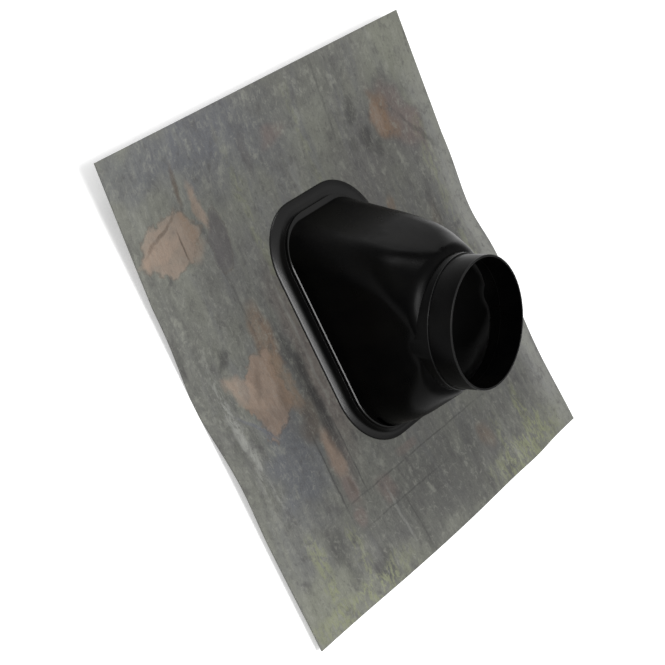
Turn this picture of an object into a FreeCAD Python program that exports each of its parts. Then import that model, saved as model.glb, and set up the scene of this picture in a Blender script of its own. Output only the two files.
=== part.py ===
import FreeCAD, Part
import math
import os
import Sketcher

# Pipe flashing boot: a square lead sheet, a moulded boot standing on it and a retaining
# frame clipped in from below. Millimetres. +Z is the sheet's normal, +Y points up the
# roof slope, and the origin is the middle of the square on the roof surface.

V = FreeCAD.Vector
os.makedirs("parts", exist_ok=True)
doc = FreeCAD.newDocument("flashing")

# ------------------------------------------------------------------ driving dimensions
VALUES = [
    # lead sheet
    ("sheet_side", 500.0, "side of the square lead sheet"),
    ("sheet_thick", 1.8, "lead thickness"),
    ("sheet_level", 10.8, "height of the sheet's top face beside the boot"),
    ("lift_near", 16.5, "rise of the lower corner on the +X side"),
    ("lift_far", 13.5, "rise of the lower corner on the -X side"),
    ("sag_near", 8.9, "droop of the middle of the +X edge"),
    ("sag_far", 8.6, "droop of the middle of the -X edge"),
    ("tail_near", 3.2, "droop of the upper part of the +X edge"),
    ("tail_far", 6.4, "droop of the upper part of the -X edge"),
    ("bow_up", 8.6, "bow of the upper edge"),
    ("hole_gap", 3.0, "gap between the hole in the lead and the boot's wall"),
    # flange of the boot
    ("lip_half", 86.7, "half width of the flange"),
    ("lip_down", 129.4, "flange reach down the slope"),
    ("lip_up", 133.2, "flange reach up the slope"),
    ("lip_r_down", 59.0, "flange corner radius, lower end"),
    ("lip_r_up", 65.0, "flange corner radius, upper end"),
    ("lip_thick", 3.4, "flange thickness"),
    ("lip_bevel", 1.9, "bevel of the flange's outer edge"),
    ("step_ledge", 1.3, "ledge between the step's crisp edge and the hood"),
    ("ledge_down", 6.0, "the same ledge at the lower end"),
    ("step_r_down", 50.0, "corner radius of the step, lower end"),
    ("step_high", 7.4, "height of the step over the lead"),
    ("step_foot", 2.0, "sloping foot of the step"),
    ("edge_break", 0.5, "small bevel on crisp edges"),
    # hood
    ("hood_half", 68.0, "half width of the hood at its foot"),
    ("hood_down", 109.0, "hood's foot, down the slope"),
    ("hood_up", 121.5, "hood's foot, up the slope"),
    ("hood_r_down", 39.0, "corner radius at the foot, lower end"),
    ("hood_r_up", 47.0, "corner radius at the foot, upper end"),
    ("belly_depth", 98.0, "depth of the hood's belly below the mouth"),
    ("belly_half", 68.2, "half width of the hood at the belly"),
    ("belly_down", 95.9, "belly, from the collar's axis down the slope"),
    ("belly_up", 101.6, "belly, from the collar's axis up the slope"),
    ("belly_r_down", 36.5, "corner radius at the belly, lower end"),
    ("belly_r_up", 44.0, "corner radius at the belly, upper end"),
    ("waist_depth", 68.0, "depth of the hood's waist below the mouth"),
    ("waist_half", 68.2, "half width of the hood at the waist"),
    ("waist_down", 86.0, "waist, from the collar's axis down the slope"),
    ("waist_up", 88.2, "waist, from the collar's axis up the slope"),
    ("waist_r_down", 36.0, "corner radius at the waist, lower end"),
    ("waist_r_up", 34.0, "corner radius at the waist, upper end"),
    ("crown_half", 67.4, "half width of the hood at its top face"),
    ("crown_down", 73.0, "top face, from the collar's axis down the slope"),
    ("crown_up", 70.0, "top face, from the collar's axis up the slope"),
    ("crown_r_down", 66.0, "corner radius at the top face, lower end"),
    ("crown_r_up", 62.0, "corner radius at the top face, upper end"),
    ("crown_fillet", 9.0, "rounding all round the top face"),
    ("wall", 2.4, "thickness of the moulding"),
    # collar
    ("tilt", 17.2, "lean of the collar's axis in degrees"),
    ("mouth_y", 52.8, "middle of the mouth, along the slope"),
    ("mouth_z", 143.9, "middle of the mouth, over the lead"),
    ("ring_radius", 66.0, "outside radius of the collar"),
    ("ring_long", 25.3, "length of the collar"),
    ("bore_radius", 63.8, "inside radius of the collar"),
    ("shoulder_radius", 67.4, "outside radius of the shoulder below the collar"),
    ("shoulder_long", 7.8, "length of the shoulder above the top face"),
    ("shoulder_sunk", 26.0, "how far the shoulder runs on below the top face"),
    # retaining frame
    ("frame_half", 83.5, "half width of the retaining frame"),
    ("frame_down", 126.0, "frame's reach down the slope"),
    ("frame_up", 129.8, "frame's reach up the slope"),
    ("frame_r_down", 56.0, "frame corner radius, lower end"),
    ("frame_r_up", 61.5, "frame corner radius, upper end"),
    ("frame_plate", 3.0, "thickness of the frame's clamping plate"),
    ("frame_rib", 2.6, "thickness of the frame's ribs"),
    ("spigot_high", 5.6, "spigot's rise over the lead's top face"),
    ("spigot_gap", 0.15, "clearance between spigot and boot"),
]
dims = doc.addObject("Spreadsheet::Sheet", "dims")
for row, (alias, value, note) in enumerate(VALUES, start=1):
    dims.set("A%d" % row, note)
    dims.set("B%d" % row, repr(value))
    dims.setAlias("B%d" % row, alias)
doc.recompute()


def val(alias):
    """Value of one driving dimension."""
    return float(dims.get(alias))


# ------------------------------------------------------------------ sketch helpers
def add_sketch(body, name, height, tilted=False, drop="0"):
    """Sketch on the body's XY plane, lifted by an expression. A tilted sketch has its
    origin on the collar's axis, `drop` below the mouth, and lies square to the axis."""
    sk = body.newObject("Sketcher::SketchObject", name)
    plane = [f for f in body.Origin.OriginFeatures if f.Role == "XY_Plane"][0]
    sk.AttachmentSupport = [(plane, "")]
    sk.MapMode = "FlatFace"
    if tilted:
        sk.AttachmentOffset = FreeCAD.Placement(V(0, 0, 0), FreeCAD.Rotation(V(1, 0, 0), -10))
        sk.setExpression(".AttachmentOffset.Rotation.Angle", "-1 deg * dims.tilt")
        sk.setExpression(".AttachmentOffset.Base.y",
                         "dims.mouth_y - (%s) * sin(dims.tilt * 1 deg)" % drop)
        sk.setExpression(".AttachmentOffset.Base.z",
                         "dims.sheet_level + dims.mouth_z - (%s) * cos(dims.tilt * 1 deg)" % drop)
    else:
        sk.setExpression(".AttachmentOffset.Base.z", height)
    return sk


def draw_rounded_rect(sk, half, down, up, r_down, r_up):
    """Rounded rectangle, even about the Y axis. Each argument is an expression."""
    def number(expr):
        doc.recompute()
        return float(sk.evalExpression(expr))
    w, lo, hi = number(half), -number(down), number(up)
    r1, r2 = number(r_down), number(r_up)
    line = lambda a, b: Part.LineSegment(V(a[0], a[1], 0), V(b[0], b[1], 0))

    def arc(cx, cy, r, a0):
        circle = Part.Circle(V(cx, cy, 0), V(0, 0, 1), r)
        return Part.ArcOfCircle(circle, math.radians(a0), math.radians(a0 + 90))

    sk.addGeometry([
        line((-w + r1, lo), (w - r1, lo)), arc(w - r1, lo + r1, r1, 270),
        line((w, lo + r1), (w, hi - r2)), arc(w - r2, hi - r2, r2, 0),
        line((w - r2, hi), (-w + r2, hi)), arc(-w + r2, hi - r2, r2, 90),
        line((-w, hi - r2), (-w, lo + r1)), arc(-w + r1, lo + r1, r1, 180)], False)
    con = Sketcher.Constraint
    sk.addConstraint([con("Tangent", i, 2, (i + 1) % 8, 1) for i in range(8)])
    sk.addConstraint([con("Horizontal", 0), con("Horizontal", 4),
                      con("Vertical", 2), con("Vertical", 6),
                      con("Equal", 1, 7), con("Equal", 3, 5)])
    named = [("right", con("DistanceX", -1, 1, 2, 1, w), half),
             ("left", con("DistanceX", 6, 1, -1, 1, w), half),
             ("down", con("DistanceY", 0, 1, -1, 1, -lo), down),
             ("up", con("DistanceY", -1, 1, 4, 1, hi), up),
             ("r_down", con("Radius", 1, r1), r_down),
             ("r_up", con("Radius", 3, r2), r_up)]
    for name, constraint, expr in named:
        index = sk.addConstraint(constraint)
        sk.renameConstraint(index, name)
        sk.setExpression("Constraints." + name, expr)
    return sk


def draw_circle(sk, radius):
    """Circle about the sketch's origin."""
    sk.addGeometry(Part.Circle(V(0, 0, 0), V(0, 0, 1), 10.0), False)
    sk.addConstraint(Sketcher.Constraint("Coincident", 0, 3, -1, 1))
    sk.renameConstraint(sk.addConstraint(Sketcher.Constraint("Radius", 0, 10.0)), "radius")
    sk.setExpression("Constraints.radius", radius)
    return sk


def add_pad(body, name, sketch, length, reverse=False):
    """Pad whose length is an expression."""
    pad = body.newObject("PartDesign::Pad", name)
    pad.Profile = sketch
    pad.Length = 10.0
    pad.setExpression("Length", length)
    pad.Reversed = reverse
    sketch.Visibility = False
    return pad


def add_loft(body, name, first, others):
    """Ruled loft through outlines with the same number of sides."""
    loft = body.newObject("PartDesign::AdditiveLoft", name)
    loft.Profile = first
    loft.Sections = others
    loft.Ruled = True
    return loft


def dress(body, kind, name, base, size, wanted):
    """Fillet or chamfer on the edges of `base` that `wanted` picks."""
    doc.recompute()
    names = ["Edge%d" % (i + 1) for i, e in enumerate(base.Shape.Edges) if wanted(e)]
    feature = body.newObject("PartDesign::" + kind, name)
    feature.Base = (base, names)
    key = "Radius" if kind == "Fillet" else "Size"
    setattr(feature, key, 0.3)
    feature.setExpression(key, size)
    return feature


def axis_depth(p):
    """Distance of a point below the mouth, measured along the collar's axis."""
    a = math.radians(val("tilt"))
    return -((p.y - val("mouth_y")) * math.sin(a)
             + (p.z - val("sheet_level") - val("mouth_z")) * math.cos(a))


def on_depth(depth):
    """Picks edges that lie wholly at one depth below the mouth."""
    return lambda e: all(abs(axis_depth(p) - depth) < 0.02
                         for p in (e.valueAt(e.FirstParameter), e.valueAt(e.LastParameter),
                                   e.valueAt((e.FirstParameter + e.LastParameter) / 2)))


def on_level(z, inside):
    """Picks level edges at height z, either wholly inside the band half way between the
    step and the flange's edge, or wholly outside it."""
    split = (val("lip_half") + val("hood_half")) / 2

    def pick(e):
        p = e.valueAt((e.FirstParameter + e.LastParameter) / 2)
        level = abs(e.BoundBox.ZMin - z) < 0.01 and abs(e.BoundBox.ZMax - z) < 0.01
        near = (abs(p.x) < split and p.y > -(val("lip_down") - 8)
                and p.y < val("lip_up") - 8 and math.hypot(p.x, p.y - 2) < 125)
        corner = e.Curve.TypeId == "Part::GeomCircle"
        if corner:
            near = e.Curve.Radius < min(val("lip_r_down"), val("lip_r_up")) - 4
        return level and near == inside
    return pick


CROWN = "dims.ring_long + dims.shoulder_long"
crown_depth = val("ring_long") + val("shoulder_long")

# ------------------------------------------------------------------ boot, outside
# Flange, step, hood, shoulder and collar in one solid body.
outer = doc.addObject("PartDesign::Body", "boot_outside")

lip_sk = add_sketch(outer, "lip_outline", "dims.sheet_level")
draw_rounded_rect(lip_sk, "dims.lip_half", "dims.lip_down", "dims.lip_up",
                  "dims.lip_r_down", "dims.lip_r_up")
lip = add_pad(outer, "lip", lip_sk, "dims.lip_thick")

step_sk = add_sketch(outer, "step_outline", "dims.sheet_level")
draw_rounded_rect(step_sk, "dims.hood_half + dims.step_ledge", "dims.hood_down + dims.ledge_down",
                  "dims.hood_up + dims.step_ledge", "dims.step_r_down",
                  "dims.hood_r_up + dims.step_ledge")
step = add_pad(outer, "step", step_sk, "dims.step_high")
lip_top = val("sheet_level") + val("lip_thick")
bevelled = dress(outer, "Chamfer", "lip_edge", step, "dims.lip_bevel", on_level(lip_top, False))
footed = dress(outer, "Chamfer", "step_slope", bevelled, "dims.step_foot", on_level(lip_top, True))
broken = dress(outer, "Chamfer", "step_edge", footed, "dims.edge_break",
               on_level(val("sheet_level") + val("step_high"), True))

foot_sk = add_sketch(outer, "hood_foot", "dims.sheet_level + dims.step_high")
draw_rounded_rect(foot_sk, "dims.hood_half", "dims.hood_down", "dims.hood_up",
                  "dims.hood_r_down", "dims.hood_r_up")
belly_sk = add_sketch(outer, "hood_belly", "", True, "dims.belly_depth")
draw_rounded_rect(belly_sk, "dims.belly_half", "dims.belly_down", "dims.belly_up",
                  "dims.belly_r_down", "dims.belly_r_up")
waist_sk = add_sketch(outer, "hood_waist", "", True, "dims.waist_depth")
draw_rounded_rect(waist_sk, "dims.waist_half", "dims.waist_down", "dims.waist_up",
                  "dims.waist_r_down", "dims.waist_r_up")
crown_sk = add_sketch(outer, "hood_crown", "", True, CROWN)
draw_rounded_rect(crown_sk, "dims.crown_half", "dims.crown_down", "dims.crown_up",
                  "dims.crown_r_down", "dims.crown_r_up")
hood = add_loft(outer, "hood", foot_sk, [belly_sk, waist_sk, crown_sk])
crowned = dress(outer, "Fillet", "crown_rounding", hood, "dims.crown_fillet",
                on_depth(crown_depth))

shoulder_sk = add_sketch(outer, "shoulder_circle", "", True, "dims.ring_long")
draw_circle(shoulder_sk, "dims.shoulder_radius")
shoulder = add_pad(outer, "shoulder", shoulder_sk, "dims.shoulder_long + dims.shoulder_sunk", True)
shoulder_edge = dress(outer, "Chamfer", "shoulder_edge", shoulder, "dims.edge_break",
                      on_depth(val("ring_long")))
ring_sk = add_sketch(outer, "ring_circle", "", True, "0")
draw_circle(ring_sk, "dims.ring_radius")
ring = add_pad(outer, "ring", ring_sk, "dims.ring_long + dims.shoulder_long", True)
ring_edge = dress(outer, "Chamfer", "ring_edge", ring, "dims.edge_break", on_depth(0))

# ------------------------------------------------------------------ boot, hollow
# The same forms, one wall smaller, run out through the base and the mouth.
core = doc.addObject("PartDesign::Body", "boot_hollow")
well_sk = add_sketch(core, "well_outline", "dims.sheet_level - 5")
draw_rounded_rect(well_sk, "dims.hood_half - dims.wall", "dims.hood_down - dims.wall",
                  "dims.hood_up - dims.wall", "dims.hood_r_down - dims.wall",
                  "dims.hood_r_up - dims.wall")
well = add_pad(core, "well", well_sk, "dims.step_high + 5 - dims.wall * 0.4")
inner_foot_sk = add_sketch(core, "inner_foot", "dims.sheet_level + dims.step_high - dims.wall * 0.4")
draw_rounded_rect(inner_foot_sk, "dims.hood_half - dims.wall", "dims.hood_down - dims.wall",
                  "dims.hood_up - dims.wall", "dims.hood_r_down - dims.wall",
                  "dims.hood_r_up - dims.wall")
inner_belly_sk = add_sketch(core, "inner_belly", "", True, "dims.belly_depth")
draw_rounded_rect(inner_belly_sk, "dims.belly_half - dims.wall",
                  "dims.belly_down - dims.wall", "dims.belly_up - dims.wall",
                  "dims.belly_r_down - dims.wall", "dims.belly_r_up - dims.wall")
inner_waist_sk = add_sketch(core, "inner_waist", "", True, "dims.waist_depth")
draw_rounded_rect(inner_waist_sk, "dims.waist_half - dims.wall",
                  "dims.waist_down - dims.wall", "dims.waist_up - dims.wall",
                  "dims.waist_r_down - dims.wall", "dims.waist_r_up - dims.wall")
inner_crown_sk = add_sketch(core, "inner_crown", "", True, CROWN + " + dims.wall")
draw_rounded_rect(inner_crown_sk, "dims.crown_half - dims.wall",
                  "dims.crown_down - 0.8 * dims.wall", "dims.crown_up - 0.65 * dims.wall",
                  "dims.crown_r_down - dims.wall", "dims.crown_r_up - dims.wall")
inner_hood = add_loft(core, "inner_hood", inner_foot_sk,
                      [inner_belly_sk, inner_waist_sk, inner_crown_sk])
inner_crowned = dress(core, "Fillet", "inner_rounding", inner_hood,
                      "dims.crown_fillet - dims.wall", on_depth(crown_depth + val("wall")))
bore_sk = add_sketch(core, "bore_circle", "", True, "-6")
draw_circle(bore_sk, "dims.bore_radius")
bore = add_pad(core, "bore", bore_sk, CROWN + " + dims.wall + 18 + 6", True)

boot = doc.addObject("Part::Cut", "boot")
boot.Base, boot.Tool = outer, core

# ------------------------------------------------------------------ retaining frame
# Clamping plate under the lead, two ribs down to the roof and a spigot up into the boot.
frame = doc.addObject("PartDesign::Body", "retaining_frame")


def add_pocket(body, name, sketch, length):
    """Pocket cut upwards from its sketch, by an expression."""
    pocket = body.newObject("PartDesign::Pocket", name)
    pocket.Profile = sketch
    pocket.Length = 10.0
    pocket.setExpression("Length", length)
    pocket.Reversed = True
    sketch.Visibility = False
    return pocket


def inset_outline(body, name, height, inset):
    """Outline of the hood's foot, drawn smaller by an expression."""
    sk = add_sketch(body, name, height)
    return draw_rounded_rect(sk, *["dims.%s - (%s)" % (alias, inset) for alias in
                                   ("hood_half", "hood_down", "hood_up",
                                    "hood_r_down", "hood_r_up")])


plate_sk = add_sketch(frame, "plate_outline", "0")
draw_rounded_rect(plate_sk, "dims.frame_half", "dims.frame_down", "dims.frame_up",
                  "dims.frame_r_down", "dims.frame_r_up")
plate = add_pad(frame, "plate", plate_sk, "dims.sheet_level - dims.sheet_thick")
trough_sk = add_sketch(frame, "trough_outline", "0")
draw_rounded_rect(trough_sk, "dims.frame_half - dims.frame_rib", "dims.frame_down - dims.frame_rib",
                  "dims.frame_up - dims.frame_rib", "dims.frame_r_down - dims.frame_rib",
                  "dims.frame_r_up - dims.frame_rib")
trough = add_pocket(frame, "trough", trough_sk,
                    "dims.sheet_level - dims.sheet_thick - dims.frame_plate")
spigot_sk = inset_outline(frame, "spigot_outline", "0", "dims.wall + dims.spigot_gap")
spigot = add_pad(frame, "spigot", spigot_sk, "dims.sheet_level + dims.spigot_high")
through_sk = inset_outline(frame, "through_outline", "0",
                           "dims.wall + dims.spigot_gap + dims.frame_rib")
through = add_pocket(frame, "through", through_sk, "dims.sheet_level + dims.spigot_high")

# ------------------------------------------------------------------ lead sheet
# One smooth surface, flat under the flange and bent towards its edges, made thick
# downwards. The bends are named amplitudes read from the dimension sheet.


def rise(t):
    """Smooth step from 0 to 1."""
    t = min(1.0, max(0.0, t))
    return t * t * (3 - 2 * t)


def hump(t, width):
    """Bell of height 1."""
    return math.exp(-(t / width) ** 2)


def sheet_height(x, y):
    """Height of the lead's top face over its level at the boot."""
    half = val("sheet_side") / 2
    side = rise((abs(x) - 105) / (half - 105)) ** 0.8
    lift = (val("lift_near") + val("lift_far")) / 2 + (val("lift_near") - val("lift_far")) * x / (2 * half)
    start = 152 - 44 * side
    z = lift * max(0.0, (-y - start) / (half - start)) ** 1.08
    if x > 0:
        z -= side * (val("sag_near") * hump(y + 8, 52) + val("tail_near") * rise((y - 70) / 70))
    else:
        width = 55 if y < -18 else 40
        z -= side * (val("sag_far") * hump(y + 18, width) + val("tail_far") * hump(y - 150, 82))
    up = rise((y - 150) / (half - 150))
    bow = hump(x - 10, 150) + 0.42 * hump(x + 155, 36)
    return z + val("bow_up") * up * bow


def sheet_surface(cells):
    """Cubic surface over the square whose poles stand on the bend formula."""
    half = val("sheet_side") / 2
    knots = [-half + i * 2 * half / cells for i in range(cells + 1)]
    mults = [4] + [1] * (cells - 1) + [4]
    full = [k for k, m in zip(knots, mults) for _ in range(m)]
    at = [(full[i + 1] + full[i + 2] + full[i + 3]) / 3 for i in range(cells + 3)]
    level = val("sheet_level")
    poles = [[V(x, y, level + sheet_height(x, y)) for y in at] for x in at]
    surface = Part.BSplineSurface()
    surface.buildFromPolesMultsKnots(poles, mults, mults, knots, knots, False, False, 3, 3)
    return surface


blank = doc.addObject("Part::Feature", "lead_blank")
blank.Shape = sheet_surface(25).toShape().extrude(V(0, 0, -val("sheet_thick")))

punch = doc.addObject("PartDesign::Body", "lead_punch")
punch_sk = inset_outline(punch, "punch_outline", "dims.sheet_level - 20", "-1 * dims.hole_gap")
punch_pad = add_pad(punch, "punch_pad", punch_sk, "40")

lead = doc.addObject("Part::Cut", "lead_sheet")
lead.Base, lead.Tool = blank, punch

# ------------------------------------------------------------------ checks and export
doc.recompute()
for obj in doc.Objects:
    if "Invalid" in obj.State or "Error" in obj.State:
        raise RuntimeError("%s: %s" % (obj.Name, obj.State))
for name, before, after in (("trough", plate, trough), ("through", spigot, through),
                            ("hollow", outer, boot), ("hole", blank, lead)):
    if after.Shape.Volume > before.Shape.Volume - 1000:
        raise RuntimeError(name + " removed nothing")
for node in (lead, boot, frame):
    shape = node.Shape
    if shape.isNull() or not shape.isValid() or len(shape.Solids) != 1:
        raise RuntimeError(node.Name + " is not one valid solid")
    node.Label = node.Name
    shape.exportStep("parts/%s.step" % node.Name)
    box = shape.BoundBox
    print(node.Name, "volume", round(shape.Volume), "box", [round(v, 2) for v in (
        box.XMin, box.YMin, box.ZMin, box.XMax, box.YMax, box.ZMax)])
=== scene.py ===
import math

import bmesh
import bpy
import numpy as np
from mathutils import Matrix, Vector
from mathutils import noise as noise_at


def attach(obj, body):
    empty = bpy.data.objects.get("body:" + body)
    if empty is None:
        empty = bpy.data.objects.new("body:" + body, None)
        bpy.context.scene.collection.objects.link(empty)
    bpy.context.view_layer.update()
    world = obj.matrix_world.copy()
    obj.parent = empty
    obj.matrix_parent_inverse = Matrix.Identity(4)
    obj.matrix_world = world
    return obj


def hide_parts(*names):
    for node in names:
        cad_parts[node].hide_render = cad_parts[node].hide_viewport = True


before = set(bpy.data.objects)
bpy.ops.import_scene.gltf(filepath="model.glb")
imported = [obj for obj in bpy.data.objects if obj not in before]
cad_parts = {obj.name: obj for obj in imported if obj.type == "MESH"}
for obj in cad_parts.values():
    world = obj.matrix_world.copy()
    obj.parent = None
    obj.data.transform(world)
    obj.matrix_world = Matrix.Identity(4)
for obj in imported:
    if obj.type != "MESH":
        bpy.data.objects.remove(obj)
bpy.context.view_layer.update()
bpy.ops.object.select_all(action="DESELECT")
scene = bpy.context.scene
scene.view_settings.view_transform = "Standard"


# Lead sheet: the apron of soft milled lead that is dressed over the tiles. It is cut
# square, punched for the boot's hood and left bare, so hand dressing has put shallow
# waves, dents and folds in it and the weather has stained its patina in patches.

MM = 0.001
SHEET_HALF = 250.0
SHEET_LEVEL = 10.8
SHEET_THICK = 1.8
SHEET_CELLS = 190

# how dressing has bent it, in mm; a wave is its depth, its middle and its reach
FLAT_HALF, SIDE_CURVE = 105, 0.8
CURL, CURL_TWIST, CURL_CURVE, CURL_START, CURL_EARLIER = 15, 1.5, 1.08, 152, 44
NEAR_WAVE, NEAR_FALL, NEAR_FALL_FROM, NEAR_FALL_LONG = (8.9, -8, 52), 3.2, 70, 70
FAR_DEPTH, FAR_MIDDLE, FAR_REACH_DOWN, FAR_REACH_UP = 8.6, -18, 55, 40
FAR_UPPER_WAVE = (6.4, 150, 82)
BOW, BOW_FROM, BOW_WAVES = 8.6, 150, ((1, 10, 150), (0.42, -155, 36))


def ease(t):
    t = min(1.0, max(0.0, t))
    return t * t * (3 - 2 * t)


def wave(at, depth, middle, reach):
    return depth * math.exp(-((at - middle) / reach) ** 2)


def sheet_height(x, y):
    """Height in mm of the sheet's top: its lower corners curl up, its sides droop in
    waves and its upper edge bows, while the middle stays flat under the flange."""
    side = ease((abs(x) - FLAT_HALF) / (SHEET_HALF - FLAT_HALF)) ** SIDE_CURVE
    curl = CURL + CURL_TWIST * x / SHEET_HALF
    start = CURL_START - CURL_EARLIER * side
    z = curl * max(0.0, (-y - start) / (SHEET_HALF - start)) ** CURL_CURVE
    if x > 0:
        fall = NEAR_FALL * ease((y - NEAR_FALL_FROM) / NEAR_FALL_LONG)
        z -= side * (wave(y, *NEAR_WAVE) + fall)
    else:
        reach = FAR_REACH_DOWN if y < FAR_MIDDLE else FAR_REACH_UP
        z -= side * (wave(y, FAR_DEPTH, FAR_MIDDLE, reach) + wave(y, *FAR_UPPER_WAVE))
    bow = wave(x, *BOW_WAVES[0]) + wave(x, *BOW_WAVES[1])
    return SHEET_LEVEL + z + BOW * ease((y - BOW_FROM) / (SHEET_HALF - BOW_FROM)) * bow


# shallow knocks in the metal: place, reach along and across, turn in degrees, depth;
# they fade out where the flange lies on the sheet, and are shallower at its rim
KNOCK_REACH, KNOCK_FADE, FLANGE_HALF, FLANGE_LONG = 6, 14, 84, 130
RIM_FADE, RIM_KEPT, RIM_MORE = 6, 0.45, 0.55
DENTS = [
    (205, -145, 34, 20, 62, 0.9), (188, -120, 26, 9, 115, -0.8), (232, -170, 30, 8, 90, 0.7),
    (176, 22, 30, 16, 40, 0.9), (196, 30, 34, 8, 130, -0.9), (222, 48, 34, 7, 95, 0.8),
    (133, -130, 34, 12, 80, -0.9), (146, -170, 40, 6, 88, 0.6), (170, -214, 30, 12, 70, 0.7),
    (122, 108, 40, 14, 90, 0.5), (104, 128, 44, 5, 90, -0.5), (141, 120, 40, 5, 90, -0.5),
    (-150, -150, 44, 20, 38, 0.9), (-205, -110, 30, 16, 60, -0.8), (-178, 30, 44, 14, 84, 0.6),
    (-150, 120, 50, 16, 100, -0.6), (40, 205, 70, 14, 4, 0.5), (-80, 178, 60, 12, 12, -0.5),
    (20, -205, 60, 18, 6, 0.6), (-70, -222, 46, 14, 170, -0.6), (215, 150, 44, 18, 82, 0.6),
    (238, 30, 20, 5, 90, -0.8), (241, -60, 26, 6, 90, 0.7), (236, 205, 30, 9, 75, -0.7),
]


def knock(x, y):
    depth = 0.0
    for cx, cy, along, across, turn, deep in DENTS:
        c, s = math.cos(math.radians(turn)), math.sin(math.radians(turn))
        u = ((x - cx) * c + (y - cy) * s) / along
        v = ((y - cy) * c - (x - cx) * s) / across
        away = u * u + v * v
        if away < KNOCK_REACH:
            depth += deep * math.exp(-away)
    clear = ease((max(abs(x) - FLANGE_HALF, abs(y) - FLANGE_LONG)) / KNOCK_FADE)
    inner = ease((SHEET_HALF - max(abs(x), abs(y))) / RIM_FADE)
    return depth * clear * (RIM_KEPT + RIM_MORE * inner)


bpy.ops.mesh.primitive_grid_add(x_subdivisions=SHEET_CELLS, y_subdivisions=SHEET_CELLS,
                                size=2 * SHEET_HALF)
lead = bpy.context.object
lead.name = "lead_apron"
for v in lead.data.vertices:
    x, y = v.co.x, v.co.y
    v.co.z = sheet_height(x, y) - knock(x, y)

thicken = lead.modifiers.new("thickness", "SOLIDIFY")
thicken.thickness = SHEET_THICK
thicken.offset = -1
bpy.ops.object.modifier_apply(modifier="thickness")

# the punch goes 3 mm outside the hood's foot, with its two sizes of corner
HOLE_HALF, HOLE_DOWN, HOLE_UP, PUNCH_TALL = 71.0, -112.0, 124.5, 80
NEARLY = 0.1
bpy.ops.mesh.primitive_cube_add(size=1, location=(0, 0, 0))
punch = bpy.context.object
punch.data.transform(
    Matrix.Translation((0, (HOLE_DOWN + HOLE_UP) / 2, 0))
    @ Matrix.Diagonal((2 * HOLE_HALF, HOLE_UP - HOLE_DOWN, PUNCH_TALL, 1)))
bpy.ops.object.mode_set(mode="EDIT")
for end, radius in ((HOLE_DOWN, 42), (HOLE_UP, 50)):
    bpy.ops.mesh.select_all(action="DESELECT")
    bm = bmesh.from_edit_mesh(punch.data)
    for e in bm.edges:
        a, b = e.verts
        upright = abs(a.co.z - b.co.z) > PUNCH_TALL / 2
        at_corner = abs(abs(a.co.x) - HOLE_HALF) < NEARLY and abs(a.co.y - end) < NEARLY
        if upright and at_corner:
            e.select_set(True)
    bmesh.update_edit_mesh(punch.data)
    bpy.ops.mesh.bevel(offset=radius, segments=14, profile=0.5, affect="EDGES")
bpy.ops.object.mode_set(mode="OBJECT")
bpy.ops.object.select_all(action="DESELECT")
bpy.context.view_layer.objects.active = lead
lead.select_set(True)
hole = lead.modifiers.new("hole", "BOOLEAN")
hole.operation = "DIFFERENCE"
hole.solver = "EXACT"
hole.object = punch
bpy.ops.object.modifier_apply(modifier="hole")
bpy.data.objects.remove(punch)

GREEN, PALE, GREY = (0.225, 0.232, 0.188), (0.300, 0.304, 0.282), (0.110, 0.110, 0.104)
DARK, TROUGH_SHADE, BLUE = (0.056, 0.055, 0.054), (0.026, 0.024, 0.024), (0.122, 0.128, 0.146)
VIOLET, TAN, SAND = (0.108, 0.100, 0.102), (0.288, 0.212, 0.162), (0.360, 0.272, 0.210)
PINK, RUST, BROWN = (0.190, 0.152, 0.138), (0.235, 0.150, 0.092), (0.100, 0.072, 0.054)
OLIVE, CLAY = (0.262, 0.278, 0.168), (0.312, 0.246, 0.196)

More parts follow.
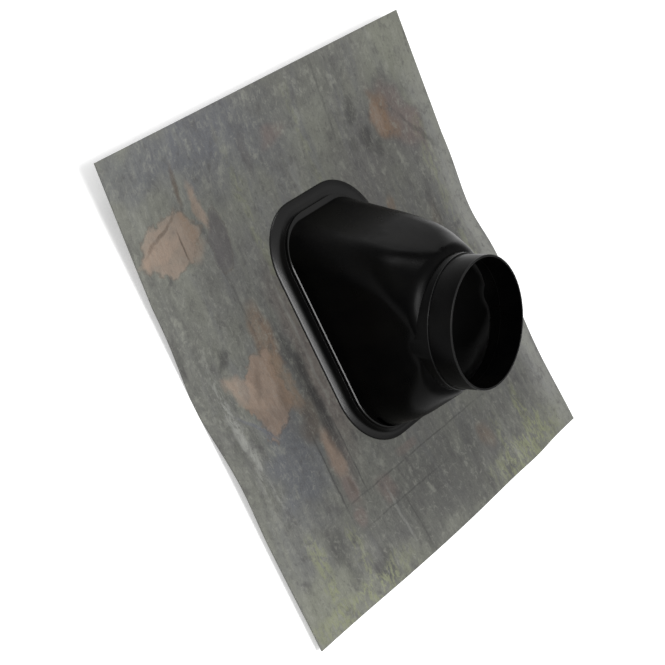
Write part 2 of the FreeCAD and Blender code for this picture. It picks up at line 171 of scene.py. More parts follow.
# broad soft washes of tone, then scuffs that the grain of the metal breaks up. Each row:
# x, y, half length, half width, turn, corner, soft, ragged, colour and strength; corner
# 1 is a diamond, 2 an oval and 6 a box
WASHES = [
    (0, 238, 250, 18, 0, 6, 0.6, 10, GREEN, 0.55),
    (-236, 0, 250, 20, 90, 6, 0.6, 10, PALE, 0.35),
    (225, -60, 200, 34, 90, 6, 0.6, 20, GREEN, 0.5),
    (20, 60, 175, 175, 0, 3, 0.5, 30, GREY, 0.45),
    (-66, 205, 46, 9, 90, 4, 0.5, 8, DARK, 0.5),
    (10, 200, 24, 7, 90, 4, 0.5, 8, DARK, 0.5),
    (126, 228, 16, 14, 90, 3, 0.5, 10, DARK, 0.7),
    (174, 195, 30, 10, 90, 3, 0.5, 10, DARK, 0.6),
    (-10, 205, 120, 40, 0, 3, 0.5, 30, GREY, 0.75),
    (-228, -229, 60, 40, 20, 2, 0.6, 20, GREEN, 0.8),
    (212, 222, 30, 34, 90, 3, 0.5, 16, GREEN, 0.9),
    (175, 85, 52, 34, 90, 2.5, 0.5, 16, BLUE, 0.8),
    (-178, 60, 150, 36, 90, 3, 0.5, 24, GREY, 0.55),
    (78, -205, 90, 34, 0, 2, 0.6, 20, BLUE, 0.45),
    (-100, -100, 90, 50, 60, 2, 0.7, 24, VIOLET, 0.45),
    (96, 20, 90, 16, 90, 2, 0.6, 10, PINK, 0.55),
    (-96, 192, 12, 11, 0, 2, 0.5, 10, RUST, 0.3),
    (230, -10, 112, 26, 90, 3, 0.5, 12, GREY, 0.6),
    (-50, -232, 112, 28, 0, 3, 0.5, 12, GREY, 0.55),
    (-206, -186, 60, 24, 90, 2, 0.6, 16, GREEN, 0.4),
    (77, 165, 14, 12, 90, 3, 0.4, 8, PINK, 0.7),
    (128, 172, 9, 7, 90, 3, 0.4, 6, PINK, 0.8),
    (-184, -28, 20, 7, 80, 2, 0.5, 8, BROWN, 0.45),
    (176, -146, 16, 20, 70, 2, 0.4, 12, SAND, 0.6),
    (-188, -140, 56, 30, -58, 2, 0.4, 18, VIOLET, 0.7),
    (-186, -146, 44, 20, -58, 2, 0.4, 18, PINK, 0.75),
    (-164, -158, 26, 15, -70, 1.8, 0.4, 12, RUST, 0.8),
    (-155, -160, 16, 8, -74, 2, 0.4, 8, TAN, 0.8),
    (14, -200, 20, 12, 10, 2, 0.5, 14, PINK, 0.7),
    (118, 8, 44, 8, 98, 2, 0.6, 6, DARK, 0.75),
    (132, 62, 22, 12, 60, 2, 0.5, 8, BROWN, 0.6),
    (-129, -144, 12, 7, 50, 2, 0.5, 8, DARK, 0.7),
    (-106, -144, 8, 7, 0, 2, 0.5, 8, DARK, 0.6),
    (-119, -179, 12, 8, 70, 2, 0.5, 8, DARK, 0.6),
    (-238, 100, 150, 10, 90, 6, 0.4, 4, PALE, 0.5),
    (150, -228, 104, 24, 0, 3, 0.5, 20, BLUE, 0.6),
    (141, -26, 34, 12, 86, 2.5, 0.4, 10, RUST, 0.6),
    (121, 118, 40, 12, 90, 3, 0.4, 8, PINK, 0.6),
]
SCUFFS = [
    (-148, 232, 66, 20, 0, 3, 0.5, 14, OLIVE, 0.9),
    (-170, 212, 40, 9, 90, 3, 0.5, 12, OLIVE, 0.7),
    (-120, 214, 30, 7, 90, 3, 0.5, 12, OLIVE, 0.6),
    (176, 238, 76, 13, 0, 3, 0.5, 10, OLIVE, 0.8),
    (203, 196, 34, 10, 90, 3, 0.5, 12, OLIVE, 0.8),
    (150, 205, 34, 8, 90, 3, 0.5, 12, OLIVE, 0.6),
    (219, 40, 74, 15, 90, 3, 0.5, 10, PALE, 0.7),
    (208, 30, 60, 6, 92, 3, 0.5, 6, DARK, 0.6),
    (228, 20, 66, 5, 88, 3, 0.5, 6, DARK, 0.5),
    (-214, -20, 120, 9, 90, 3, 0.6, 12, OLIVE, 0.4),
    (-190, -30, 90, 5, 90, 3, 0.6, 8, DARK, 0.35),
    (-30, -170, 60, 5, 90, 3, 0.6, 8, OLIVE, 0.35),
    (86, -120, 90, 6, 90, 3, 0.6, 8, OLIVE, 0.35),
]

# their edges wobble, by the same draw at every run
WANDER_SCALE, WOBBLE_SEED = 0.045, 7
noise_at.seed_set(WOBBLE_SEED)
spots = np.array([v.co[:] for v in lead.data.vertices])
wobble = np.array([noise_at.noise_vector(v.co * WANDER_SCALE)[:] for v in lead.data.vertices])
for label, marks in (("washes", WASHES), ("scuffs", SCUFFS)):
    laid = np.zeros((len(spots), 4))
    for x, y, length, width, turn, corner, soft, ragged, colour, strength in marks:
        dx = spots[:, 0] + wobble[:, 0] * ragged - x
        dy = spots[:, 1] + wobble[:, 1] * ragged - y
        c, s = math.cos(math.radians(turn)), math.sin(math.radians(turn))
        along, across = np.abs(dx * c + dy * s) / length, np.abs(dy * c - dx * s) / width
        away = along ** corner + across ** corner
        t = np.clip((1 + soft - away ** (1 / corner)) / (2 * soft), 0, 1)
        cover = (t * t * (3 - 2 * t) * strength)[:, None]
        laid = laid * (1 - cover) + np.array([*colour, 1.0]) * cover
    paint = lead.data.color_attributes.new(label, "FLOAT_COLOR", "POINT")
    paint.data.foreach_set("color", laid.ravel())

# a thickened slope leans past its own rim, so the rim is trimmed back to the square
for v in lead.data.vertices:
    v.co.x = min(SHEET_HALF, max(-SHEET_HALF, v.co.x))
    v.co.y = min(SHEET_HALF, max(-SHEET_HALF, v.co.y))
lead.data.transform(Matrix.Scale(MM, 4))
bpy.ops.object.shade_smooth_by_angle(angle=math.radians(40))


def new_group(name, takes, gives):
    group = bpy.data.node_groups.new(name, "ShaderNodeTree")
    for label, kind, start in takes:
        plug = group.interface.new_socket(label, in_out="INPUT", socket_type="NodeSocket" + kind)
        if start is not None:
            plug.default_value = start
    for label, kind in gives:
        group.interface.new_socket(label, in_out="OUTPUT", socket_type="NodeSocket" + kind)
    return group, group.nodes.new("NodeGroupInput"), group.nodes.new("NodeGroupOutput")


def maths(tree, operation, a, b=None, c=None, clamp=False):
    node = tree.nodes.new("ShaderNodeMath")
    node.operation = operation
    node.use_clamp = clamp
    for slot, value in zip(node.inputs, (a, b, c)):
        if value is None:
            continue
        if isinstance(value, (int, float)):
            slot.default_value = value
        else:
            tree.links.new(value, slot)
    return node.outputs[0]


def vectors(tree, operation, a, b):
    node = tree.nodes.new("ShaderNodeVectorMath")
    node.operation = operation
    for slot, value in zip(node.inputs, (a, b)):
        if isinstance(value, tuple):
            slot.default_value = value
        else:
            tree.links.new(value, slot)
    return node.outputs[0]


def noise(tree, place, scale, detail=3.0, rough=0.55, stretch=None, distortion=0.0):
    """Cloudy noise; stretch scales the three directions, so less is longer."""
    if stretch:
        place = vectors(tree, "MULTIPLY", place, stretch)
    node = tree.nodes.new("ShaderNodeTexNoise")
    node.inputs["Scale"].default_value = scale
    node.inputs["Detail"].default_value = detail
    node.inputs["Roughness"].default_value = rough
    node.inputs["Distortion"].default_value = distortion
    tree.links.new(place, node.inputs["Vector"])
    return node


def ramp(tree, value, low, high, out_low=0.0, out_high=1.0):
    node = tree.nodes.new("ShaderNodeMapRange")
    node.interpolation_type = "SMOOTHSTEP"
    tree.links.new(value, node.inputs["Value"])
    for label, number in (("From Min", low), ("From Max", high),
                          ("To Min", out_low), ("To Max", out_high)):
        node.inputs[label].default_value = number
    return node.outputs["Result"]


def mix(tree, amount, a, b, blend="MIX"):
    node = tree.nodes.new("ShaderNodeMix")
    node.data_type = "RGBA"
    node.blend_type = blend
    for slot, value in ((node.inputs[0], amount), (node.inputs[6], a), (node.inputs[7], b)):
        if isinstance(value, (int, float)):
            slot.default_value = value
        elif isinstance(value, tuple):
            slot.default_value = (*value, 1)
        else:
            tree.links.new(value, slot)
    return node.outputs[2]


# one stain: an oval, diamond or box on the sheet with a soft, ragged and broken edge
stain, taken, given = new_group("stain", [
    ("Place", "Vector", None), ("Wander", "Vector", None), ("Breaks", "Float", 0.5),
    ("X", "Float", 0.0), ("Y", "Float", 0.0), ("Half length", "Float", 10.0),
    ("Half width", "Float", 10.0), ("Turn", "Float", 0.0), ("Corner", "Float", 2.0),
    ("Soft", "Float", 0.3), ("Ragged", "Float", 4.0), ("Broken", "Float", 0.3),
], [("Mask", "Float"), ("Outline", "Float")])
scaled = stain.nodes.new("ShaderNodeVectorMath")
scaled.operation = "SCALE"
stain.links.new(taken.outputs["Wander"], scaled.inputs[0])
stain.links.new(taken.outputs["Ragged"], scaled.inputs["Scale"])
moved = vectors(stain, "ADD", taken.outputs["Place"], scaled.outputs[0])
centre = stain.nodes.new("ShaderNodeCombineXYZ")
stain.links.new(taken.outputs["X"], centre.inputs[0])
stain.links.new(taken.outputs["Y"], centre.inputs[1])
moved = vectors(stain, "SUBTRACT", moved, centre.outputs[0])
angle = maths(stain, "MULTIPLY", taken.outputs["Turn"], -math.pi / 180)
turned = stain.nodes.new("ShaderNodeVectorRotate")
turned.rotation_type = "Z_AXIS"
stain.links.new(moved, turned.inputs["Vector"])
stain.links.new(angle, turned.inputs["Angle"])
apart = stain.nodes.new("ShaderNodeSeparateXYZ")
stain.links.new(turned.outputs[0], apart.inputs[0])
sides = []
for axis, half in ((0, "Half length"), (1, "Half width")):
    share = maths(stain, "DIVIDE", maths(stain, "ABSOLUTE", apart.outputs[axis]),
                  taken.outputs[half])
    sides.append(maths(stain, "POWER", share, taken.outputs["Corner"]))
radius = maths(stain, "POWER", maths(stain, "ADD", *sides),
               maths(stain, "DIVIDE", 1.0, taken.outputs["Corner"]))
outer_edge = maths(stain, "ADD", 1.0, taken.outputs["Soft"])
inner_edge = maths(stain, "SUBTRACT", 1.0, taken.outputs["Soft"])
inside = stain.nodes.new("ShaderNodeMapRange")
inside.interpolation_type = "SMOOTHSTEP"
stain.links.new(radius, inside.inputs["Value"])
stain.links.new(outer_edge, inside.inputs["From Min"])
stain.links.new(inner_edge, inside.inputs["From Max"])
gaps = maths(stain, "SUBTRACT", 1.0, maths(stain, "MULTIPLY", taken.outputs["Breaks"],
                                           taken.outputs["Broken"]))
stain.links.new(maths(stain, "MULTIPLY", inside.outputs["Result"], gaps), given.inputs["Mask"])
OUTLINE_AT, OUTLINE_HALF = 0.3, 0.07
off_line = maths(stain, "ABSOLUTE", maths(stain, "SUBTRACT", radius,
                 maths(stain, "MULTIPLY_ADD", taken.outputs["Soft"], OUTLINE_AT, 1.0)))
line = maths(stain, "SUBTRACT", 1.0, maths(stain, "DIVIDE", off_line, OUTLINE_HALF), clamp=True)
stain.links.new(maths(stain, "MULTIPLY", line, gaps), given.inputs["Outline"])


def new_finish(name):
    """Fresh material: its tree, its shader and the place on the piece in mm."""
    material = bpy.data.materials.new(name)
    material.use_nodes = True
    tree = material.node_tree
    tree.nodes.clear()
    surface = tree.nodes.new("ShaderNodeBsdfPrincipled")
    out = tree.nodes.new("ShaderNodeOutputMaterial")
    tree.links.new(surface.outputs[0], out.inputs["Surface"])
    coords = tree.nodes.new("ShaderNodeTexCoord")
    place = vectors(tree, "MULTIPLY", coords.outputs["Object"], (1 / MM, 1 / MM, 1 / MM))
    return material, tree, surface, place


# grains of the metal, each with its scale per mm
patina, tree, surface, place = new_finish("weathered_lead")
cloud = noise(tree, place, 0.011, 4, 0.6)
streak = noise(tree, place, 0.045, 3, 0.55, (1.0, 0.2, 1.0), 0.6)
hair = noise(tree, place, 0.35, 4, 0.6, (1.0, 0.09, 1.0))
mottle = noise(tree, place, 0.075, 6, 0.66, (1.0, 0.7, 1.0))
speck = noise(tree, place, 0.7, 3, 0.6)
fleck = noise(tree, place, 0.19, 6, 0.66, (1.0, 0.8, 1.0), 0.8)
drag = noise(tree, place, 0.085, 5, 0.62, (1.0, 0.13, 1.0), 0.25)
scratch = noise(tree, place, 0.13, 7, 0.74, (1.0, 0.45, 1.0), 0.8)
drift = noise(tree, place, WANDER_SCALE, 4, 0.6)
wander = vectors(tree, "SUBTRACT", drift.outputs["Color"], (0.5, 0.5, 0.5))
breaks = ramp(tree, mottle.outputs["Fac"], 0.62, 0.36)

WARM_BASE, COOL_BASE = (0.205, 0.209, 0.178), (0.168, 0.168, 0.160)
COOL_STREAK, WARM_STREAK = (0.165, 0.168, 0.172), (0.232, 0.238, 0.205)
tone = mix(tree, ramp(tree, cloud.outputs["Fac"], 0.36, 0.64), WARM_BASE, COOL_BASE)
for near, far, colour in ((0.50, 0.72, COOL_STREAK), (0.46, 0.30, WARM_STREAK)):
    tone = mix(tree, ramp(tree, streak.outputs["Fac"], near, far, 0.0, 0.7), tone, colour)

# the washes and scuffs are laid over that, the scuffs only where the scratches take them
for label in ("washes", "scuffs"):
    laid = tree.nodes.new("ShaderNodeAttribute")
    laid.attribute_name = label
    colour, cover = laid.outputs["Color"], laid.outputs["Alpha"]
    if label == "scuffs":
        kept = ramp(tree, scratch.outputs["Fac"], 0.47, 0.54)
        colour = mix(tree, kept, (0.0, 0.0, 0.0), colour)
        cover = maths(tree, "MULTIPLY", kept, cover)
    tone = mix(tree, cover, tone, (0.0, 0.0, 0.0))
    tone = mix(tree, 1.0, tone, colour, "ADD")


def cloud_over(tone, grain, pale, dark, fade, amount, bright, dull, within=None):
    """Brightens the tone where the grain is above pale, dulls it where it is below dark."""
    for near, far, colour in ((pale, pale + fade, bright), (dark, dark - fade, dull)):
        cover = ramp(tree, grain.outputs["Fac"], near, far, 0.0, amount)
        if within is not None:
            cover = maths(tree, "MULTIPLY", cover, within)
        tone = mix(tree, cover, tone, colour)
    return tone


# clouds and drawn-out bands, pale and dark
CLOUD_BRIGHT, CLOUD_DULL, CLOUD_FADE = (0.285, 0.289, 0.250), (0.092, 0.088, 0.088), 0.16
banded = ramp(tree, cloud.outputs["Fac"], 0.44, 0.62)
for grain, pale, dark, amount, within in ((mottle, 0.54, 0.47, 0.55, None),
                                          (fleck, 0.52, 0.48, 0.30, None),
                                          (drag, 0.50, 0.49, 0.24, banded)):
    tone = cloud_over(tone, grain, pale, dark, CLOUD_FADE, amount,
                      CLOUD_BRIGHT, CLOUD_DULL, within)

# the crisp stains, smears and lines, in the terms of the washes, and before the colour
# how broken each one is. Their edges wander by a weaker noise, so it is made up; the
# hardest ones have dried with a brown outline
RAGGED_MORE, HARD_EDGE, DRIED_LINE = 3, 0.21, 0.34
STAINS = [
    (60, 212, 40, 6, 90, 4, 0.5, 6, 0.4, DARK, 0.4),
    (0, -150, 24, 5, 90, 3, 0.6, 8, 0.6, PALE, 0.4),
    # tan and brown patches
    (-118, -70, 11, 6, 80, 2, 0.5, 6, 0.4, RUST, 0.5),
    (198, -150, 43, 27, 5, 1.6, 0.12, 13, 0.2, CLAY, 0.95),
    (216, -150, 30, 10, 3, 1.2, 0.3, 8, 0.3, SAND, 0.7),
    (166, 18, 42, 26, 66, 1.7, 0.12, 15, 0.2, TAN, 0.95),
    (189, 6, 28, 13, 128, 1.5, 0.25, 8, 0.3, SAND, 0.75),
    (139, 18, 30, 11, 86, 2, 0.35, 12, 0.4, RUST, 0.55),
    (122, 104, 24, 9.5, 90, 3, 0.4, 5, 0.25, TAN, 0.85),
    (124, 143, 13, 8, 90, 3, 0.3, 5, 0.3, PINK, 0.8),
    (146, -171, 24, 7, 98, 1.6, 0.35, 7, 0.3, SAND, 0.7),
    # darker clouding inside the patches
    (152, 34, 24, 5, 74, 2, 0.6, 6, 0.7, BROWN, 0.5),
    (171, 8, 20, 4, 60, 2, 0.6, 6, 0.6, BROWN, 0.4),
    (207, -163, 26, 2.2, 22, 2, 0.5, 5, 0.4, BROWN, 0.6),
    (170, -158, 18, 6, 110, 2, 0.6, 6, 0.6, RUST, 0.4),
    (121, 142, 10, 3, 90, 2, 0.5, 4, 0.4, BROWN, 0.5),
    # thin runs down the slope
    (78, 196, 30, 1.6, 90, 3, 0.5, 2, 0.4, PALE, 0.5),
    (96, -10, 60, 1.8, 89, 3, 0.5, 3, 0.5, PALE, 0.45),
    (148, -84, 50, 1.8, 91, 3, 0.5, 3, 0.5, DARK, 0.4),
    (-80, -190, 50, 1.8, 90, 3, 0.5, 3, 0.5, DARK, 0.4),
    # a violet bruise, a dark crease and a pink trace
    (136, -132, 31, 13, 74, 1.7, 0.2, 7, 0.2, VIOLET, 0.85),
    (-212, -122, 34, 3, -50, 2, 0.5, 5, 0.4, DARK, 0.5),
    (25, 147, 17, 5, 0, 4, 0.3, 3, 0.3, PINK, 0.6),
    # dark smears, blots and runs, and a band of painted shade along a trough beside the flange
    (109, 92, 62, 4.5, 90, 3, 0.5, 5, 0.3, DARK, 0.6),
    # painted shade: a dark band standing for the shade in a trough beside the boot's flange
    (112, 54, 50, 6.5, 88, 3, 0.6, 5, 0.2, TROUGH_SHADE, 0.72),
    (197, -32, 9, 6, 60, 2, 0.4, 6, 0.2, DARK, 0.8),
    (-142, -129, 9, 6, 30, 2, 0.5, 8, 0.2, DARK, 0.6),
    (166, -197, 18, 3.5, 82, 2, 0.6, 5, 0.2, BROWN, 0.7),
    (58, -192, 20, 6, 90, 2, 0.6, 8, 0.3, VIOLET, 0.6),
    # folds, the first three drawn as dark lines of painted shade along their creases, and scribed
    # lines
    (12, 156, 124, 0.8, 0, 6, 0.5, 1.2, 0.5, DARK, 0.6),
    (60, 185, 64, 0.8, 0, 6, 0.5, 1.2, 0.5, DARK, 0.55),
    (60, 216, 33, 0.8, 90, 6, 0.5, 1.2, 0.5, DARK, 0.5),
    (104, 118, 42, 1.0, 90, 6, 0.5, 1.6, 0.2, DARK, 0.7),
    (140, 118, 40, 1.0, 90, 6, 0.5, 1.6, 0.2, DARK, 0.7),
    (184, -144, 13, 1.1, 94, 3, 0.5, 2, 0.2, BROWN, 0.8),
    (221, 52, 26, 4, 94, 2, 0.5, 5, 0.7, PALE, 0.8),
    (195, 42, 26, 1.6, 130, 3, 0.5, 2, 0.2, BLUE, 0.8),
]
for x, y, length, width, turn, corner, soft, ragged, broken, colour, strength in STAINS:
    blot = tree.nodes.new("ShaderNodeGroup")
    blot.node_tree = stain
    tree.links.new(place, blot.inputs["Place"])
    tree.links.new(wander, blot.inputs["Wander"])
    tree.links.new(breaks, blot.inputs["Breaks"])
    for label, number in (("X", x), ("Y", y), ("Half length", length), ("Half width", width),
                          ("Turn", turn), ("Corner", corner), ("Soft", soft),
                          ("Ragged", ragged * RAGGED_MORE), ("Broken", broken)):
        blot.inputs[label].default_value = number
    tone = mix(tree, maths(tree, "MULTIPLY", blot.outputs["Mask"], strength), tone, colour)
    if soft < HARD_EDGE:
        dried = maths(tree, "MULTIPLY", blot.outputs["Outline"], DRIED_LINE)
        tone = mix(tree, dried, tone, BROWN)

# fine flecks, hairlines and specks lie over everything
FLECK_BRIGHT, FLECK_DULL, FLECK_FADE = (0.330, 0.328, 0.296), (0.075, 0.074, 0.072), 0.18
for grain, pale, dark, amount in ((fleck, 0.53, 0.47, 0.20), (hair, 0.50, 0.48, 0.09),
                                  (speck, 0.56, 0.44, 0.20)):
    tone = cloud_over(tone, grain, pale, dark, FLECK_FADE, amount, FLECK_BRIGHT, FLECK_DULL)

# painted shade: the tone is darkened over the middle of the sheet, where the boot stands, and less
# so towards its rim
PAINTED_SHADE_FROM, PAINTED_SHADE_MIDDLE, PAINTED_SHADE_RIM = 150.0, 0.62, 0.86
spot = tree.nodes.new("ShaderNodeSeparateXYZ")
shifted = vectors(tree, "ADD", place, vectors(tree, "MULTIPLY", wander, (60.0, 60.0, 0.0)))
tree.links.new(shifted, spot.inputs[0])
rim = maths(tree, "MAXIMUM", maths(tree, "ABSOLUTE", spot.outputs["X"]),
            maths(tree, "ABSOLUTE", spot.outputs["Y"]))
painted_shade = ramp(tree, rim, PAINTED_SHADE_FROM, SHEET_HALF, PAINTED_SHADE_MIDDLE, PAINTED_SHADE_RIM)
shade = tree.nodes.new("ShaderNodeCombineColor")
for channel in shade.inputs:
    tree.links.new(painted_shade, channel)
tone = mix(tree, 1.0, tone, shade.outputs[0], "MULTIPLY")
tree.links.new(tone, surface.inputs["Base Color"])
surface.inputs["Metallic"].default_value = 0.30
tree.links.new(ramp(tree, mottle.outputs["Fac"], 0.3, 0.7, 0.42, 0.60), surface.inputs["Roughness"])
surface.inputs["Specular IOR Level"].default_value = 0.4
relief = maths(tree, "MULTIPLY_ADD", fleck.outputs["Fac"], 0.35,
               maths(tree, "MULTIPLY", streak.outputs["Fac"], 0.6))
relief = maths(tree, "ADD", relief,
               maths(tree, "MULTIPLY_ADD", hair.outputs["Fac"], 0.12,
                     maths(tree, "MULTIPLY", mottle.outputs["Fac"], 0.5)))
bump = tree.nodes.new("ShaderNodeBump")
bump.inputs["Distance"].default_value = 0.0012
bump.inputs["Strength"].default_value = 0.6
tree.links.new(relief, bump.inputs["Height"])
tree.links.new(bump.outputs[0], surface.inputs["Normal"])
lead.data.materials.clear()
lead.data.materials.append(patina)
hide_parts("lead_sheet")
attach(lead, "root")


# Boot: one moulding in black polypropylene, a flange, the sloping hood and the collar
# that takes the pipe. The mould leaves it half glossy with a fine even grain, and its
# long flat walls have sunk a little as they cooled.

TILT = math.radians(17.2)
AXIS = Vector((0, math.sin(TILT), math.cos(TILT)))
UPHILL = Vector((0, math.cos(TILT), -math.sin(TILT)))
MOUTH = Vector((0, 52.8, 154.7))
WALL = 2.4

# its outlines: half width, reach down and up the slope, corner radii below and above
LIP = (86.7, 129.4, 133.2, 59, 65)
STEP = (69.6, 115.3, 123.1, 47.8, 48.6)
RISER = (69.3, 115, 122.8, 47.5, 48.3)
FOOT = (68, 109, 121.5, 39, 47)
BELLY, BELLY_DEEP = (68.2, 95.9, 101.6, 36.5, 44), 98
WAIST, WAIST_DEEP = (68.2, 86, 88.2, 36, 34), 68
CROWN, CROWN_DEEP = (67.4, 73, 70, 66, 62), 33.1
FOOT_LEVEL = 18.2
BELLY_TURN, WAIST_TURN, CROWN_TURN, CROWN_SIDE_TURN = 13, 15, 9, 9

# the flange from its rim inwards, as share of the way to the step and height, and then
# the step, as growth of its riser and height
RIM_LEVEL = 10.85
FLANGE_PROFILE = [(0, 11.6), (0.02, 12.05), (0.06, 12.5), (0.12, 12.9), (0.2, 13.4), (0.3, 14.0),
                  (0.4, 14.45), (0.5, 14.7), (0.6, 14.7), (0.7, 14.45), (0.85, 14.0), (1, 13.9)]
STEP_PROFILE = [(0.1, 14.2), (0, 14.7), (0, 16.0), (0, 17.3), (-0.1, 17.6)]

# the collar's bars: radius, then depth of top and bottom below the mouth
SHOULDER = (67.4, 25.3, 56)
RING = (66.0, 0.02, 40)
BORE = (63.8, -6, 53.5)
RIM_BREAK = 0.5

CORNER_POINTS, CORNER_STEP, SIDE_POINTS, END_POINTS = 19, 5, 10, 4


def rounded(sizes, thin=0.0):
    """Rounded rectangle, drawn in by thin and walked the same way round for every size."""
    half, down, up, r_down, r_up = [size - thin for size in sizes]
    corners = ((half - r_down, r_down - down, r_down, 270), (half - r_up, up - r_up, r_up, 0),
               (r_up - half, up - r_up, r_up, 90), (r_down - half, r_down - down, r_down, 180))
    arcs = []
    for cx, cy, r, start in corners:
        angles = [math.radians(start + CORNER_STEP * k) for k in range(CORNER_POINTS)]
        arcs.append([Vector((cx + r * math.cos(a), cy + r * math.sin(a), 0)) for a in angles])
    whole = []
    for k, arc in enumerate(arcs):
        a, b = arc[-1], arcs[(k + 1) % 4][0]
        steps = SIDE_POINTS if k % 2 == 0 else END_POINTS
        whole += arc + [a.lerp(b, j / (steps + 1)) for j in range(1, steps + 1)]
    return whole


def level(outline, z):
    return [Vector((p.x, p.y, z)) for p in outline]


def square_on(outline, depth):
    """Outline laid square to the collar's axis, so deep below the mouth."""
    return [MOUTH - AXIS * depth + Vector((p.x, 0, 0)) + UPHILL * p.y for p in outline]


def between(a, b, t):
    return [p.lerp(q, t) for p, q in zip(a, b)]


def bend(a, corner, b, t):
    return a * (1 - t) ** 2 + corner * 2 * t * (1 - t) + b * t ** 2


def soft_turn(before, at, after, blend, steps=7):
    """Outlines that round the bend at one station of a loft."""
    turn = []
    for k in range(steps + 1):
        ring = []
        for p, q, r in zip(before, at, after):
            a = q + (p - q).normalized() * blend
            b = q + (r - q).normalized() * blend
            ring.append(bend(a, q, b, k / steps))
        turn.append(ring)
    return turn


def skin(name, rings):
    """Closed solid through a row of outlines."""
    count = len(rings[0])
    faces = [list(range(count))[::-1], [len(rings) * count - count + k for k in range(count)]]
    for i in range(len(rings) - 1):
        for k in range(count):
            n = (k + 1) % count
            faces.append((i * count + k, i * count + n, (i + 1) * count + n, (i + 1) * count + k))
    mesh = bpy.data.meshes.new(name)
    mesh.from_pydata([p for ring in rings for p in ring], [], faces)
    solid = bpy.data.objects.new(name, mesh)
    scene.collection.objects.link(solid)
    return solid


def hood(thin, foot_level, crown_deep, fillet):
    """The hood's stations from foot to crown, all drawn in by one wall or none."""
    foot = level(rounded(FOOT, thin), foot_level)
    belly = square_on(rounded(BELLY, thin), BELLY_DEEP)
    waist = square_on(rounded(WAIST, thin), WAIST_DEEP)
    crown = square_on(rounded(CROWN, thin), crown_deep)
    rings = [foot, between(foot, belly, 0.3), between(foot, belly, 0.6)]
    rings += soft_turn(foot, belly, waist, BELLY_TURN)
    rings += soft_turn(belly, waist, crown, WAIST_TURN, steps=10)
    # the top's rounding is widest at the two sides
    side_at, steps = 67, 12
    amount = [fillet + CROWN_SIDE_TURN * (q.x / side_at) ** 2 for q in crown]
    shoulder = [q + (p - q).normalized() * r for p, q, r in zip(waist, crown, amount)]
    rings += [between(rings[-1], shoulder, 0.5), shoulder]
    centre = MOUTH - AXIS * crown_deep
    top = [q + (centre - q).normalized() * r for q, r in zip(crown, amount)]
    for k in range(1, steps):
        rings.append([bend(a, q, b, k / steps) for a, q, b in zip(shoulder, crown, top)])
    return rings + [top]


# flange with its rolled edge, the step's crisp line, then the hood
lip, step = rounded(LIP), rounded(STEP)
rings = [level(lip, RIM_LEVEL)]
rings += [level(between(lip, step, inward), z) for inward, z in FLANGE_PROFILE]
rings += [level(rounded(RISER, -grow), z) for grow, z in STEP_PROFILE]
boot = skin("boot_moulding", rings + hood(0, FOOT_LEVEL, CROWN_DEEP, CROWN_TURN))

# the core is one wall smaller, and runs out through the open base
CORE_BOTTOM, CORE_FOOT, CORE_CROWN_DEEP = 8, FOOT_LEVEL - 1, CROWN_DEEP + WALL
CORE_TURN = CROWN_TURN - WALL
core = skin("core", [level(rounded(FOOT, WALL), CORE_BOTTOM)]
            + hood(WALL, CORE_FOOT, CORE_CROWN_DEEP, CORE_TURN))


def drum(radius, top, bottom, edge=0.0):
    """Round bar about the collar's axis between two depths, its upper rim broken."""
    bpy.ops.mesh.primitive_cylinder_add(vertices=144, radius=radius, depth=bottom - top)
    bar = bpy.context.object
    if edge:
        bpy.ops.object.mode_set(mode="EDIT")
        bpy.ops.mesh.select_all(action="DESELECT")
        bm = bmesh.from_edit_mesh(bar.data)
        for e in bm.edges:
            e.select_set(all(v.co.z > 0 for v in e.verts))
        bmesh.update_edit_mesh(bar.data)
        bpy.ops.mesh.bevel(offset=edge, segments=3, profile=0.5, affect="EDGES")
        bpy.ops.object.mode_set(mode="OBJECT")
    lean = Matrix.Rotation(-TILT, 4, "X")
    bar.data.transform(Matrix.Translation(MOUTH - AXIS * (top + bottom) / 2) @ lean)
    return bar


shoulder_bar = drum(*SHOULDER, RIM_BREAK)
ring_bar = drum(*RING, RIM_BREAK)
bore = drum(*BORE)
bpy.ops.object.select_all(action="DESELECT")
bpy.context.view_layer.objects.active = boot
boot.select_set(True)
for other, how in ((shoulder_bar, "UNION"), (ring_bar, "UNION"),
                   (core, "DIFFERENCE"), (bore, "DIFFERENCE")):
    joint = boot.modifiers.new("joint", "BOOLEAN")
    joint.operation = how
    joint.solver = "EXACT"
    joint.object = other
    bpy.ops.object.modifier_apply(modifier="joint")
    bpy.data.objects.remove(other)
boot.data.transform(Matrix.Scale(MM, 4))
bpy.ops.object.shade_smooth_by_angle(angle=math.radians(20))

black, tree, surface, place = new_finish("black_moulding")
grain = noise(tree, place, 1.6, 2, 0.5)
swirl = noise(tree, place, 0.03, 3, 0.55, (1.0, 1.0, 0.4))
smear = noise(tree, place, 0.06, 4, 0.6, (1.0, 0.35, 1.0))
DEEP_BLACK, DULL_BLACK = (0.0009, 0.0009, 0.0010), (0.0022, 0.0021, 0.0019)
tone = mix(tree, ramp(tree, swirl.outputs["Fac"], 0.35, 0.7), DEEP_BLACK, DULL_BLACK)
tree.links.new(tone, surface.inputs["Base Color"])

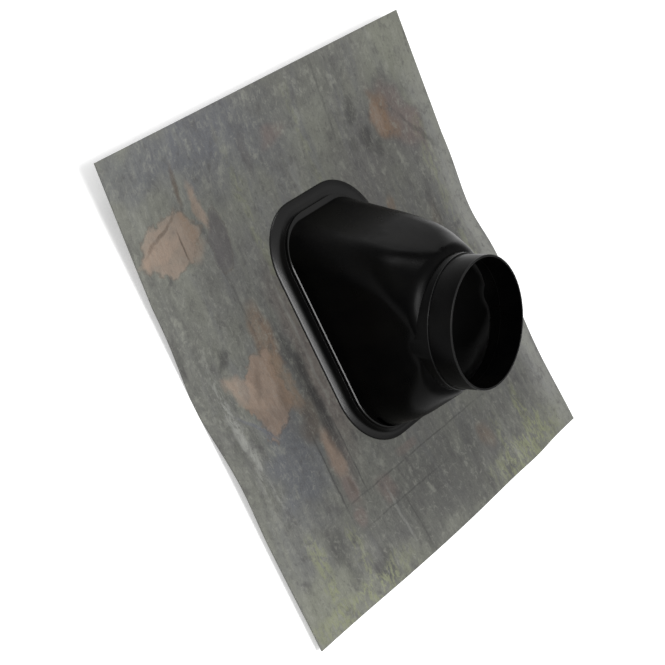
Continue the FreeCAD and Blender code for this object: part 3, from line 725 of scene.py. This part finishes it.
# the flange and the crisp rims are handled, so they shine a little more than the walls.
# The rims are found by their depth below the mouth, along the collar's axis
RIM_LINE, POLISH = 25.45, 0.55
heights = tree.nodes.new("ShaderNodeSeparateXYZ")
tree.links.new(place, heights.inputs[0])
up_axis = maths(tree, "MULTIPLY_ADD", heights.outputs["Y"], AXIS.y,
                maths(tree, "MULTIPLY", heights.outputs["Z"], AXIS.z))
below_mouth = maths(tree, "SUBTRACT", MOUTH.dot(AXIS), up_axis)
off_line = maths(tree, "ABSOLUTE", maths(tree, "SUBTRACT", below_mouth, RIM_LINE))
rims = maths(tree, "MAXIMUM", ramp(tree, below_mouth, 1.0, 0.3), ramp(tree, off_line, 0.6, 0.2))
flange = ramp(tree, heights.outputs["Z"], FOOT_LEVEL + 0.5, FOOT_LEVEL - 0.2)
polished = maths(tree, "MAXIMUM", flange, rims)
tree.links.new(maths(tree, "MULTIPLY", polished, POLISH), surface.inputs["Coat Weight"])
surface.inputs["Coat Roughness"].default_value = 0.30
surface.inputs["Specular IOR Level"].default_value = 0.055
tree.links.new(ramp(tree, smear.outputs["Fac"], 0.3, 0.75, 0.27, 0.37), surface.inputs["Roughness"])

# its edges are broken by 0.6 mm all over
broken_edge = tree.nodes.new("ShaderNodeBevel")
broken_edge.samples = 6
broken_edge.inputs["Radius"].default_value = 0.0006
height = maths(tree, "MULTIPLY_ADD", swirl.outputs["Fac"], 6.0, grain.outputs["Fac"])
bump = tree.nodes.new("ShaderNodeBump")
bump.inputs["Distance"].default_value = 0.00004
bump.inputs["Strength"].default_value = 0.5
tree.links.new(broken_edge.outputs[0], bump.inputs["Normal"])
tree.links.new(height, bump.inputs["Height"])
tree.links.new(bump.outputs[0], surface.inputs["Normal"])
boot.data.materials.clear()
boot.data.materials.append(black)
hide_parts("boot")
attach(boot, "root")


# Retaining frame: the second moulding, pushed up inside the hood from below. Its plate
# clamps the edge of the punched lead against the flange; it is matt black and plain.

clamp_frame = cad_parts["retaining_frame"]
matt = black.copy()
matt.name = "matt_black_moulding"
for node in matt.node_tree.nodes:
    if node.type == "BSDF_PRINCIPLED":
        matt.node_tree.links.remove(node.inputs["Coat Weight"].links[0])
        node.inputs["Coat Weight"].default_value = 0.0
        node.inputs["Specular IOR Level"].default_value = 0.2
    if node.type == "MAP_RANGE" and node.outputs[0].links[0].to_socket.name == "Roughness":
        node.inputs["To Min"].default_value = 0.52
        node.inputs["To Max"].default_value = 0.66
clamp_frame.data.materials.clear()
clamp_frame.data.materials.append(matt)


# Studio: a pale floor that runs white behind the part, one broad soft light high over
# the upper end, a weaker one beyond the lower end and a sky that brightens overhead.

bpy.ops.mesh.primitive_plane_add(size=30, location=(0, 0, 0))
floor = bpy.context.object
floor.name = "studio_floor"
paper = bpy.data.materials.new("white_paper")
paper.use_nodes = True
tree = paper.node_tree
tree.nodes.clear()
matte = tree.nodes.new("ShaderNodeBsdfDiffuse")
matte.inputs["Color"].default_value = (0.80, 0.80, 0.80, 1)
glow = tree.nodes.new("ShaderNodeEmission")

# the paper's glow is seen and mirrored but lights nothing, and it stops short of the
# part, so that its shadow stays
PAPER_GLOW, GLOW_FROM, GLOW_FULL = 0.45, 0.19, 0.23
path = tree.nodes.new("ShaderNodeLightPath")
mirrored = maths(tree, "MAXIMUM", path.outputs["Is Transmission Ray"],
                 path.outputs["Is Glossy Ray"])
seen = maths(tree, "MAXIMUM", path.outputs["Is Camera Ray"], mirrored)
coords = tree.nodes.new("ShaderNodeTexCoord")
edges = tree.nodes.new("ShaderNodeSeparateXYZ")
tree.links.new(coords.outputs["Object"], edges.inputs[0])
beside = maths(tree, "MAXIMUM", maths(tree, "ABSOLUTE", edges.outputs["X"]),
               maths(tree, "ABSOLUTE", edges.outputs["Y"]))
seen = maths(tree, "MULTIPLY", seen, ramp(tree, beside, GLOW_FROM, GLOW_FULL))
tree.links.new(maths(tree, "MULTIPLY", seen, PAPER_GLOW), glow.inputs["Strength"])
both = tree.nodes.new("ShaderNodeAddShader")
out = tree.nodes.new("ShaderNodeOutputMaterial")
tree.links.new(matte.outputs[0], both.inputs[0])
tree.links.new(glow.outputs[0], both.inputs[1])
tree.links.new(both.outputs[0], out.inputs["Surface"])
floor.data.materials.append(paper)

world = bpy.data.worlds.new("sky")
scene.world = world
world.use_nodes = True
tree = world.node_tree
tree.nodes.clear()
sky = tree.nodes.new("ShaderNodeBackground")
sky.inputs["Color"].default_value = (1, 1, 1, 1)
path = tree.nodes.new("ShaderNodeLightPath")
coords = tree.nodes.new("ShaderNodeTexCoord")
heading = tree.nodes.new("ShaderNodeSeparateXYZ")
tree.links.new(coords.outputs["Generated"], heading.inputs[0])
overhead = ramp(tree, heading.outputs["Z"], 0.15, 0.85, 0.16, 0.72)
brightness = maths(tree, "MAXIMUM", overhead, path.outputs["Is Camera Ray"])
tree.links.new(brightness, sky.inputs["Strength"])
out = tree.nodes.new("ShaderNodeOutputWorld")
tree.links.new(sky.outputs[0], out.inputs["Surface"])


def softbox(name, spot, aim, wide, high, power):
    lamp = bpy.data.lights.new(name, "AREA")
    lamp.shape = "RECTANGLE"
    lamp.size, lamp.size_y = wide, high
    lamp.energy = power
    holder = bpy.data.objects.new(name, lamp)
    scene.collection.objects.link(holder)
    holder.location = spot
    holder.rotation_euler = (Vector(aim) - Vector(spot)).to_track_quat("-Z", "Y").to_euler()


softbox("top_light", (0.35, 0.25, 2.1), (0, 0, 0.05), 0.9, 0.9, 34)
softbox("upper_light", (-0.3, -1.9, 1.1), (0, 0, 0.1), 0.7, 0.5, 7)

lens = bpy.data.cameras.new("camera")
lens.lens = 99.835
lens.sensor_width = 36
lens.shift_x = -0.03515
lens.shift_y = -0.00938
camera = bpy.data.objects.new("camera", lens)
scene.collection.objects.link(camera)
camera.location = (1.3724109, -0.2865632, 1.2446595)
camera.rotation_euler = [math.radians(a) for a in (18.5254, -45.5649, 142.3739)]
scene.camera = camera
